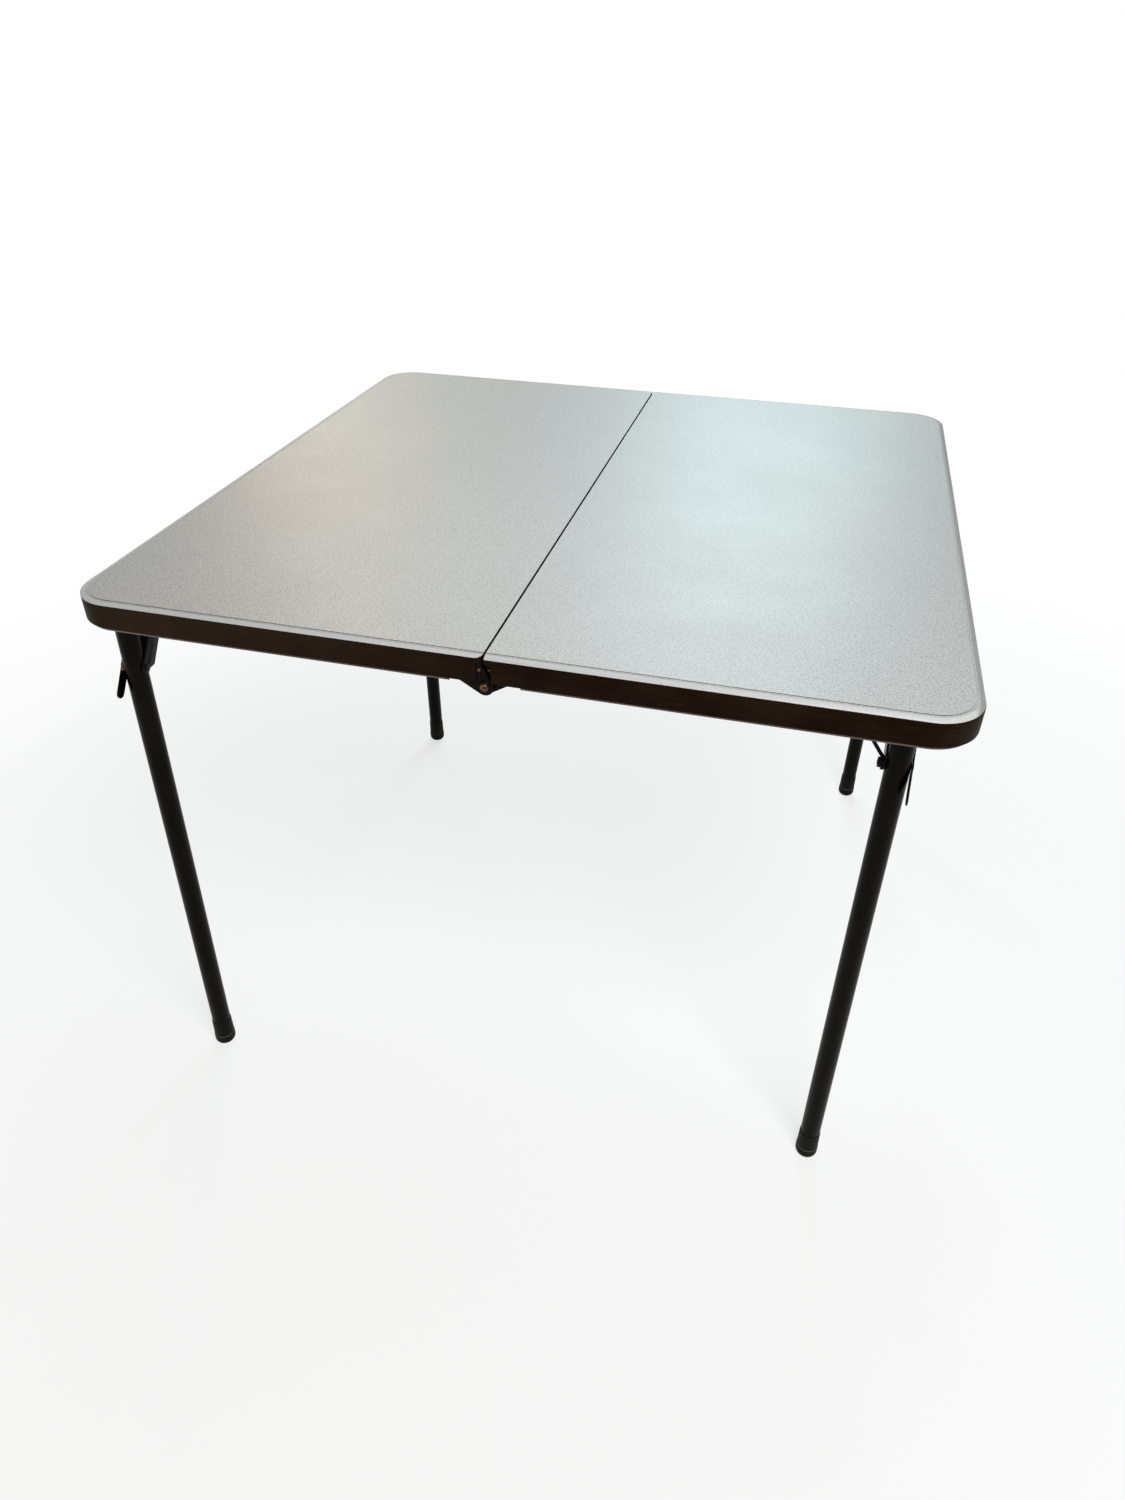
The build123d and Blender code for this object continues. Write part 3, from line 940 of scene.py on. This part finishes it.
@dataclass
class PressedSteel:
    """Pressed and drawn steel pieces, each with its cut edges softened."""

    shop: PaintShop
    soft: float = 0.3 * MM
    tongue_start: float = 7.3 * MM
    joggle: Span = (0.15, 0.5)
    flank_normal: float = 0.95

    def build(self) -> None:
        """Makes the pieces."""
        names = [part + side for part in ("rail_", "cross_rail_") for side in SIDES]
        names += ["hinge_leaf_%s_%s" % (end, side) for end in ("front", "back") for side in SIDES]
        for leg in LEG_NAMES:
            names += [part + leg for part in ("leg_bracket_", "lower_link_", "upper_link_")]
        names += ["stay_bearing_" + leg for leg in INNER_LEGS]
        for node in names:
            piece = cleaned_copy(node, "pressed_" + node)
            round_edges(piece, self.soft)
            leg = node.removeprefix("lower_link_")
            if leg != node:
                self.score_channel(piece, leg)
            smooth(piece)
            finish_piece(piece, self.shop.of(node), node)
            if leg != node:
                dress_faces(piece, self.shop.channel_inside, self.inside(node, leg))
            # The slanting faces of each hinge leaf's joggle get a painted reflection.
            if node.startswith("hinge_leaf"):
                dress_faces(piece, self.shop.leaf_reflection, self.slants)

    def slants(self, face: bpy.types.MeshPolygon) -> bool:
        """Whether a face is a slanting one in the joggle of a hinge leaf."""
        return self.joggle[0] < abs(face.normal.x) < self.joggle[1]

    def channel(self, leg: str) -> tuple[Vector, Vector]:
        """The axis of a lower link's pin, and the way that the link runs from it."""
        pin = JOINT_AT["lower_brace_fold_" + leg]
        return pin, (JOINT_AT["upper_brace_fold_" + leg] - pin).normalized()

    def score_channel(self, piece: bpy.types.Object, leg: str) -> None:
        """Cuts a link's faces where its tongue begins, so that the tongue can stay black.

        Args:
            piece: the lower link.
            leg: the leg that it is pinned to.
        """
        pin, way = self.channel(leg)
        with editing(piece):
            cut(pin - way * self.tongue_start, way)

    def inside(self, node: str, leg: str) -> Callable[[bpy.types.MeshPolygon], bool]:
        """A test for the inner faces of a channel's two flanks.

        Args:
            node: the lower link's node.
            leg: the leg that it is pinned to.

        Returns:
            The test.
        """
        middle = sum(corner.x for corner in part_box(node)) / 2
        pin, way = self.channel(leg)

        def wanted(face: bpy.types.MeshPolygon) -> bool:
            """Whether the face looks into the channel and lies past the tongue."""
            on_flank = abs(face.normal.x) > self.flank_normal
            inward = face.normal.x * (middle - face.center.x) > 0
            return on_flank and inward and (face.center - pin).dot(way) > -self.tongue_start

        return wanted


def turned(name: str, stations: Stations, sides: int) -> bpy.types.Object:
    """A turned piece that stands on the origin, drawn up from station to station.

    Args:
        name: the piece's name.
        stations: height and radius of each ring, from the bottom face to the last one.
        sides: corners round it.

    Returns:
        The new piece, with both end faces closed.
    """
    deselect()
    (height, radius), *rest = stations
    bpy.ops.mesh.primitive_circle_add(
        vertices=sides, radius=radius, fill_type="NGON", location=(0, 0, height)
    )
    piece = bpy.context.object
    piece.name = name
    bpy.ops.object.transform_apply(location=True)
    with editing(piece):
        bpy.ops.mesh.select_all(action="SELECT")
        for next_height, next_radius in rest:
            bpy.ops.mesh.extrude_region_move(TRANSFORM_OT_translate={"value": (0, 0, next_height - height)})
            ratio = next_radius / radius
            bpy.ops.transform.resize(value=(ratio, ratio, 1), center_override=(0, 0, next_height))
            height, radius = next_height, next_radius
        face_outwards()
    return piece


def along(start: Vector, stop: Vector) -> Matrix:
    """The place of a piece that stands on one point and points to another."""
    return Matrix.Translation(start) @ (stop - start).to_track_quat("Z", "Y").to_matrix().to_4x4()


def ends_of(node: str, axis: int) -> tuple[Vector, Vector]:
    """The middles of a node's two end faces along one axis.

    Args:
        node: the CAD node.
        axis: 0 for X, 1 for Y.

    Returns:
        The end nearer the table's middle, and the other one.
    """
    low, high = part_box(node)
    inner = (low + high) / 2
    outer = inner.copy()
    near, far = (low, high) if inner[axis] > 0 else (high, low)
    inner[axis], outer[axis] = near[axis], far[axis]
    return inner, outer


def domed(radius: float, rise: float, base: float = 0.0, steps: int = 4) -> Stations:
    """Stations of a domed head with a small flat on top.

    Args:
        radius: radius of the head.
        rise: its height.
        base: height that it starts at.
        steps: rings of the dome.

    Returns:
        Height and radius of each ring, from the rim up.
    """
    rings = [(base, radius), (base + rise * DOME_WALL, radius)]
    for step in range(1, steps + 1):
        turn = pi / 2 * step / (steps + DOME_FLAT)
        rings.append((base + rise * (DOME_WALL + (1 - DOME_WALL) * sin(turn)), radius * cos(turn)))
    return rings


def domed_foot(radius: float, rise: float) -> Stations:
    """Stations of a domed head at the foot of a piece, from its flat up to its rim."""
    return [(rise - height, ring) for height, ring in reversed(domed(radius, rise))]


@dataclass
class FootCap:
    """A moulded cap: a rounded tread, a worn ring and a sleeve that narrows to the tube."""

    leg: str
    shop: PaintShop
    radius: float = 14.4 * MM
    toe: float = 9 * MM
    spare: float = 1 * MM
    ring: float = 16.5 * MM
    step: float = 0.5 * MM
    neck: float = 13.4 * MM
    height: float = 44 * MM
    tube: float = 12.72 * MM
    seat: float = 6 * MM
    lip: float = 0.35 * MM
    lip_round: float = 0.4
    lip_drop: float = 0.2
    belly: float = 0.12 * MM
    neck_spread: float = 0.06 * MM
    toe_steps: int = 7
    sides: int = 56
    smooth_angle: float = 30.0

    def build(self) -> None:
        """Makes the cap."""
        node = "foot_cap_" + self.leg
        piece = turned("moulded_" + node, self.stations(), self.sides)
        foot = MOUNT_AT["foot_" + self.leg]
        settle(piece, along(foot, JOINT_AT["leg_fold_" + self.leg]))
        with editing(piece):
            cut((foot.x, foot.y, 0.0), UP, trim=True)
        smooth(piece, self.smooth_angle)
        finish_piece(piece, self.shop.of(node), node)

    def stations(self) -> Stations:
        """The rings of the cap, measured up the leg from the floor."""
        rings = []
        for step in range(1, self.toe_steps + 1):
            turn = pi / 2 * step / self.toe_steps
            height = self.toe * (1 - cos(turn)) - self.spare
            rings.append((height, self.radius - self.toe * (1 - sin(turn))))
        waist = self.radius - self.step
        return rings + [
            (self.ring - self.lip, self.radius),
            (self.ring, self.radius - self.lip_round * self.lip),
            (self.ring + self.lip_drop * self.lip, waist),
            ((self.ring + self.height) / 2, (waist + self.neck) / 2 + self.belly),
            (self.height - self.lip, self.neck + self.neck_spread),
            (self.height, self.neck - self.lip),
            (self.height, self.tube),
            (self.seat, self.tube),
        ]


@dataclass
class TurnedHardware:
    """Pins and washers, the pins each with its real head."""

    shop: PaintShop
    pin: float = 3.0 * MM
    pin_head: float = 4.8 * MM
    pin_rise: float = 0.8 * MM
    pin_chamfer: float = 0.6 * MM
    pin_sides: int = 28
    hinge_pin: float = 3.5 * MM
    hinge_head: float = 4.4 * MM
    hinge_inner: float = 1.6 * MM
    hinge_outer: float = 1.4 * MM
    hinge_sides: int = 36
    washer: float = 7.0 * MM
    washer_thick: float = 1.1 * MM
    washer_apart: float = 6.65 * MM
    washer_play: float = 0.02 * MM
    washer_bend: float = 0.3 * MM

    def build(self) -> None:
        """Makes the pieces."""
        for leg in LEG_NAMES:
            self.brace_pin(leg)
        for end in ("front", "back"):
            self.hinge(end)
        self.washers()

    def stand(self, node: str, stations: Stations, sides: int, place: Matrix) -> None:
        """Makes the turned piece of one node.

        Args:
            node: the CAD node.
            stations: its rings.
            sides: corners round it.
            place: where it stands.
        """
        piece = turned("turned_" + node, stations, sides)
        settle(piece, place)
        smooth(piece)
        finish_piece(piece, self.shop.of(node), node)

    def brace_pin(self, leg: str) -> None:
        """Makes the pin through a leg, headed at both ends or threaded towards the stay.

        Args:
            leg: the leg that it goes through.
        """
        node = "brace_pin_" + leg
        stop, start = ends_of(node, 0)
        length = (stop - start).length
        stations = domed_foot(self.pin_head, self.pin_rise) + [(self.pin_rise, self.pin)]
        if leg in INNER_LEGS:
            stations += [(length - self.pin_chamfer, self.pin), (length, self.pin - self.pin_chamfer)]
        else:
            base = length - self.pin_rise
            stations += [(base, self.pin)] + domed(self.pin_head, self.pin_rise, base)
        self.stand(node, stations, self.pin_sides, along(start, stop))

    def hinge(self, end: str) -> None:
        """Makes one pin of the fold, with a spun head outside and a button inside.

        Args:
            end: front or back.
        """
        node = "hinge_pin_" + end
        start, stop = ends_of(node, 1)
        base = (stop - start).length - self.hinge_outer
        button = domed_foot(self.hinge_head, self.hinge_inner)
        shank = [(self.hinge_inner, self.hinge_pin), (base, self.hinge_pin)]
        spun = domed(self.hinge_head, self.hinge_outer, base)
        self.stand(node, button + shank + spun, self.hinge_sides, along(start, stop))

    def washers(self) -> None:
        """Makes the four washers of the fold as one piece, each with a rounded rim and a bore."""
        node = "hinge_washers"
        low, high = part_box(node)
        axis = JOINT_AT["table_fold"]
        thick, bend, bore = self.washer_thick, self.washer_bend, self.hinge_pin + self.washer_play
        stations = [
            (thick, bore),
            (0.0, bore),
            (0.0, self.washer - bend),
            (bend, self.washer),
            (thick - bend, self.washer),
            (thick, self.washer - bend),
            (thick, bore),
        ]
        rings = []
        for facing, outer in ((-1, low.y), (1, high.y)):
            for base in (abs(outer) - thick, abs(outer) - thick - self.washer_apart):
                ring = turned("washer", stations, self.hinge_sides)
                start = Vector((axis.x, facing * base, axis.z))
                settle(ring, along(start, start + Vector((0.0, facing, 0.0))))
                rings.append(ring)
        piece = joined(rings, "turned_" + node)
        with editing(piece):
            pick(piece, Part.FACE, lambda face: len(face.verts) == self.hinge_sides)
            bpy.ops.mesh.delete(type="FACE")
            bpy.ops.mesh.select_all(action="SELECT")
            bpy.ops.mesh.remove_doubles(threshold=TOUCH)
            face_outwards()
        smooth(piece)
        finish_piece(piece, self.shop.of(node), node)


@dataclass(frozen=True)
class Lamp:
    """A soft rectangular lamp that looks at the table."""

    name: str
    place: Place
    size: tuple[float, float]
    watts: float
    colour: Colour
    roll: float = 0.0
    target: Place = (0.0, 0.0, 0.6)

    def hang(self) -> None:
        """Adds the lamp to the scene."""
        data = bpy.data.lights.new(self.name, "AREA")
        data.shape = "RECTANGLE"
        data.size, data.size_y = self.size
        data.energy = self.watts
        data.color = self.colour
        lamp = bpy.data.objects.new(self.name, data)
        bpy.context.scene.collection.objects.link(lamp)
        aim = (Vector(self.target) - Vector(self.place)).to_track_quat("-Z", "Y").to_matrix().to_4x4()
        slant = Matrix.Rotation(radians(self.roll), 4, "Z")
        lamp.matrix_world = Matrix.Translation(self.place) @ aim @ slant


def seen_share(tree: bpy.types.NodeTree) -> Wire:
    """1 for rays that show a background, the camera's own and mirrored and passing ones, or else 0."""
    path = tree.nodes.new("ShaderNodeLightPath")
    direct, mirrored, through = (
        Wire(tree, path.outputs["Is %s Ray" % kind]) for kind in ("Camera", "Glossy", "Transmission")
    )
    return direct + mirrored + through


@dataclass
class Studio:
    """Camera, lamps, world and floor.

    The lamps are three windows behind, the left one warm, and a lamp in front on the right.
    """

    lens_place: Place = (0.28445, -1.2865, 1.2392)
    yaw: float = -0.243685
    pitch: float = 0.611686
    roll: float = -0.012627
    focal_pixels: float = 1021.4
    sensor: float = 36.0
    world_colour: Colour = (0.97, 0.985, 1.0)
    world_strength: float = 0.1
    floor_size: float = 40.0
    floor_colour: Colour = (0.93, 0.93, 0.925)
    floor_cloud: Colour = (0.9, 0.9, 0.9)
    cloud_size: float = 0.8
    floor_roughness: float = 0.8
    floor_sheen: float = 0.1
    shadow_core: float = 0.6
    shadow_reach: float = 1.9
    core_glow: float = 0.72
    lamps: tuple[Lamp, ...] = (
        Lamp("cool_window", (0.1, 2.7, 2.15), (0.9, 0.7), 32.0, (0.68, 0.95, 1.0)),
        Lamp("warm_window", (-1.75, 2.7, 2.2), (0.6, 1.0), 19.5, (1.0, 0.86, 0.66), 20.0),
        Lamp("high_window", (-0.55, 2.7, 2.8), (1.5, 0.5), 34.0, (0.88, 0.98, 1.0)),
        Lamp("front_lamp", (0.75, -1.3, 2.0), (0.8, 0.8), 37.0, (1.0, 0.985, 0.98)),
    )

    def build(self) -> None:
        """Makes the whole studio."""
        self.camera()
        self.world()
        for lamp in self.lamps:
            lamp.hang()
        self.floor()
        bpy.context.scene.view_settings.view_transform = "Standard"

    def camera(self) -> None:
        """Sets the camera where the photograph was taken."""
        data = bpy.data.cameras.new("photo_camera")
        data.sensor_width = self.sensor
        data.lens = self.sensor * self.focal_pixels / PHOTO_HEIGHT
        camera = bpy.data.objects.new("photo_camera", data)
        bpy.context.scene.collection.objects.link(camera)
        forward = Vector(
            (sin(self.yaw) * cos(self.pitch), cos(self.yaw) * cos(self.pitch), -sin(self.pitch))
        )
        right = Vector((cos(self.yaw), -sin(self.yaw), 0.0))
        down = forward.cross(right)
        across = cos(self.roll) * right + sin(self.roll) * down
        below = cos(self.roll) * down - sin(self.roll) * right
        turn = Matrix((across, -below, -forward)).transposed().to_4x4()
        camera.matrix_world = Matrix.Translation(self.lens_place) @ turn
        bpy.context.scene.camera = camera

    def world(self) -> None:
        """A white surround that shows white and lights softly."""
        world = bpy.data.worlds.new("studio_world")
        world.use_nodes = True
        bpy.context.scene.world = world
        tree = world.node_tree
        tree.nodes.clear()
        mix = tree.nodes.new("ShaderNodeMixShader")
        tree.links.new(seen_share(tree).socket, mix.inputs[0])
        for slot, colour, strength in ((1, self.world_colour, self.world_strength), (2, WHITE, 1.0)):
            light = tree.nodes.new("ShaderNodeBackground")
            light.inputs["Color"].default_value = (*colour, 1.0)
            light.inputs["Strength"].default_value = strength
            tree.links.new(light.outputs[0], mix.inputs[slot])
        output = tree.nodes.new("ShaderNodeOutputWorld")
        tree.links.new(mix.outputs[0], output.inputs["Surface"])

    def floor(self) -> None:
        """A pale floor that keeps the table's shadow and glows white further out."""
        deselect()
        bpy.ops.mesh.primitive_plane_add(size=self.floor_size, location=(0.0, 0.0, 0.0))
        floor = bpy.context.object
        floor.name = "studio_floor"
        shader = Shader("floor_finish")
        shader.set(
            Base_Color=shader.blend(shader.noise(self.cloud_size), self.floor_colour, self.floor_cloud),
            Roughness=self.floor_roughness,
            Specular_IOR_Level=self.floor_sheen,
        )
        distance = shader.node("ShaderNodeVectorMath", {"operation": "LENGTH"}, {0: shader.place})
        away = shader.wire(distance, "Value").step(self.shadow_core, self.shadow_reach)
        share = seen_share(shader.tree) * (self.core_glow + (1 - self.core_glow) * away)
        glow = shader.node("ShaderNodeEmission", {}, {"Color": (*WHITE, 1.0), "Strength": 1.0})
        mixed = shader.node(
            "ShaderNodeMixShader", {}, {0: share, 1: shader.surface.outputs[0], 2: glow.outputs[0]}
        )
        shader.tree.links.new(mixed.outputs[0], shader.output.inputs["Surface"])
        floor.data.materials.append(shader.material)


def main() -> None:
    """Builds the table's looks and the studio."""
    logging.basicConfig(level=logging.INFO, format="%(name)s %(message)s")
    shop = PaintShop()
    shop.open()
    shop.dress_nodes()
    for side in SIDES:
        MouldedHalf(side, shop).build()
        SeamWalls(side, shop).build()
    PressedSteel(shop).build()
    for leg in LEG_NAMES:
        FootCap(leg, shop).build()
    TurnedHardware(shop).build()
    Studio().build()


if __name__ == "__main__":
    main()
